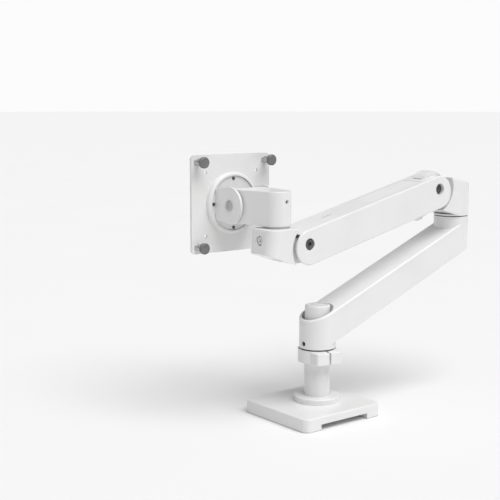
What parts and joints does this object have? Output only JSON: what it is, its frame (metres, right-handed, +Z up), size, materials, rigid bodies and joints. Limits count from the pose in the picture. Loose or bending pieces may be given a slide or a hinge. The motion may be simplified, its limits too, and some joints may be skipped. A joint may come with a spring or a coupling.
{
  "type": "monitor arm",
  "caption": "Desk monitor arm: square base and pole, turning lower arm, gas-sprung upper arm with a parallel link, and a panning, tilting, rotating display plate.",
  "frame": {"origin": "on the pole's axis at desk level, which is also the axis of the desk bolt's thread", "axes": "+Z up; the lower arm runs from the pole towards -X, the upper arm folds back over it towards +X, and the display plate faces -Y"},
  "size_m": [0.3742, 0.152, 0.3083],
  "materials": {
    "white_paint": "satin white powder coat",
    "white_cast": "satin white powder coat on cast aluminium",
    "white_plastic": "satin white moulding",
    "pad_rubber": "pale grey rubber",
    "dark_steel": "blackened steel",
    "bright_steel": "zinc plated",
    "grey_screw": "dull grey nickel plating",
    "bush_plastic": "dark acetal",
    "white_washer": "natural acetal",
    "spring_black": "black paint",
    "polished_rod": "polished"
  },
  "bodies": {
    "stand": {"base_plate": "white_paint", "base_pad": "pad_rubber", "desk_bolt_insert": "bright_steel", "pole_flange": "white_cast", "flange_screws": "bright_steel", "pole": "white_paint", "pole_cap": "white_plastic"},
    "collar": {"height_collar": "white_cast", "collar_screw": "dark_steel", "thrust_washer": "bush_plastic"},
    "lower": {"lower_arm": "white_cast", "hub_bush_lower": "white_washer", "hub_bush_upper": "white_washer", "hub_set_screw": "dark_steel", "lower_cable_cover": "white_plastic", "elbow_bush_upper": "bush_plastic", "elbow_bush_lower": "bush_plastic"},
    "elbow": {"elbow_knuckle": "white_cast", "elbow_shaft": "bright_steel", "elbow_friction_washer": "bush_plastic", "elbow_lock_washer": "bright_steel", "elbow_lock_screw": "dark_steel", "rear_pivot_bolts": "dark_steel", "rear_link_pins": "bright_steel", "spring_anchor_pin": "bright_steel"},
    "upper": {"upper_arm": "white_cast", "upper_cable_cover": "white_plastic", "cable_clip": "white_plastic", "rear_pivot_bushes": "bush_plastic", "front_pivot_bushes": "bush_plastic", "gas_spring_cylinder": "spring_black", "spring_bracket": "bright_steel", "spring_front_pin": "bright_steel"},
    "links": {"parallel_links": "bright_steel"},
    "spring_rod": {"gas_spring_rod": "polished_rod"},
    "front": {"front_knuckle": "white_cast", "front_pivot_bolts": "dark_steel", "front_link_pins": "bright_steel", "pan_shaft": "bright_steel", "pan_lock_screw": "dark_steel", "pan_washer": "white_washer", "pan_stop_screw": "white_plastic"},
    "head": {"pan_head": "white_cast", "pan_bush": "bush_plastic", "tilt_bush_left": "bush_plastic", "tilt_bush_right": "bush_plastic", "pan_set_screw": "bright_steel"},
    "tilt": {"tilt_yoke": "white_cast", "tilt_bolt": "grey_screw", "tilt_nut": "bright_steel", "tilt_washer_left": "bush_plastic", "tilt_washer_right": "bush_plastic", "rotation_rotor": "bright_steel", "rotor_screws": "dark_steel", "rotation_washer": "white_washer"},
    "plate": {"vesa_plate": "white_paint", "thumbscrews": "grey_screw"}
  },
  "joints": [
    {"name": "height_adjust", "type": "slide", "parent": "stand", "child": "collar", "axis": [0, 0, 1], "range_m": [-0.04, 0.006]},
    {"name": "base_turn", "type": "hinge", "parent": "collar", "child": "lower", "pos_m": [0, 0, 0.0812], "axis": [0, 0, 1], "range_deg": [-180, 180]},
    {"name": "elbow_turn", "type": "hinge", "parent": "lower", "child": "elbow", "pos_m": [-0.2316, 0, 0.2236], "axis": [0, 0, 1], "range_deg": [-180, 180]},
    {"name": "lift", "type": "hinge", "parent": "elbow", "child": "upper", "pos_m": [-0.18485, 0, 0.2608], "axis": [0, -1, 0], "range_deg": [-12, 57]},
    {"name": "link_swing", "type": "hinge", "parent": "elbow", "child": "links", "pos_m": [-0.18485, 0, 0.2468], "axis": [0, -1, 0], "range_deg": [-12, 57]},
    {"name": "spring_stroke", "type": "slide", "parent": "upper", "child": "spring_rod", "axis": [0.9724, 0, -0.2334], "range_m": [-0.009, 0.002]},
    {"name": "front_level", "type": "hinge", "parent": "upper", "child": "front", "pos_m": [0.0316, 0, 0.20883], "axis": [0, -1, 0], "range_deg": [-57, 12]},
    {"name": "pan", "type": "hinge", "parent": "front", "child": "head", "pos_m": [0.0626, 0, 0.2304], "axis": [0, 0, 1], "range_deg": [-25, 205]},
    {"name": "tilt", "type": "hinge", "parent": "head", "child": "tilt", "pos_m": [0.0626, -0.054, 0.2503], "axis": [-1, 0, 0], "range_deg": [-20, 70]},
    {"name": "plate_rotation", "type": "hinge", "parent": "tilt", "child": "plate", "pos_m": [0.0626, -0.085, 0.2503], "axis": [0, 1, 0], "range_deg": [-90, 90]}
  ],
  "couplings": [
    {"joint": "link_swing", "follows": "lift", "ratio": 1},
    {"joint": "front_level", "follows": "lift", "ratio": -1},
    {"joint": "spring_stroke", "follows": "lift", "m_per_rad": -0.0087}
  ]
}
